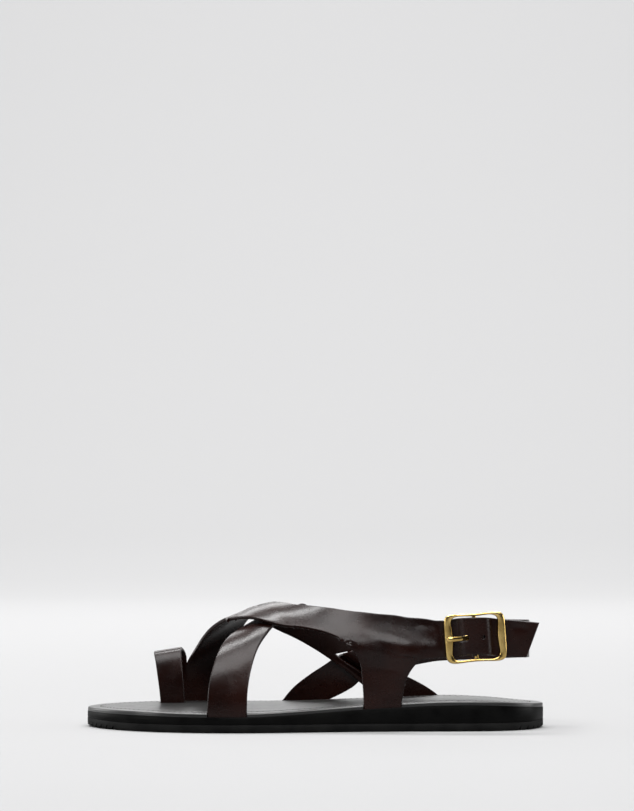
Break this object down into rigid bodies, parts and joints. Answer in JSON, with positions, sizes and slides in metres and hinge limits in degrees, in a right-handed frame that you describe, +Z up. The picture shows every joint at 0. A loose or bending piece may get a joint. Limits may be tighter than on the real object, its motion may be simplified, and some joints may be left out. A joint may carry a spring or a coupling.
{
  "type": "flat sandal",
  "caption": "Flat leather sandal for the left foot, with a toe loop, crossing instep straps and a buckled heel strap on a thin stacked sole.",
  "frame": {"origin": "middle of the bounding box on the ground plane under the sole", "axes": "+X from toe to heel, +Y to the inner (medial) side, +Z up from the ground"},
  "size_m": [0.264, 0.094, 0.0724],
  "materials": {
    "tread": "black rubber, dull",
    "sole_side": "black, smooth, half dull",
    "footbed": "black smooth leather, soft sheen",
    "strap_leather": "very dark brown polished leather",
    "buckle": "polished pale brass"
  },
  "bodies": {
    "root": {"outsole": "tread", "midsole": "sole_side", "insole": "footbed", "upper": "strap_leather", "cross_strap": "strap_leather", "heel_strap": "strap_leather", "buckle_frame": "buckle", "buckle_prong": "buckle"}
  },
  "joints": []
}
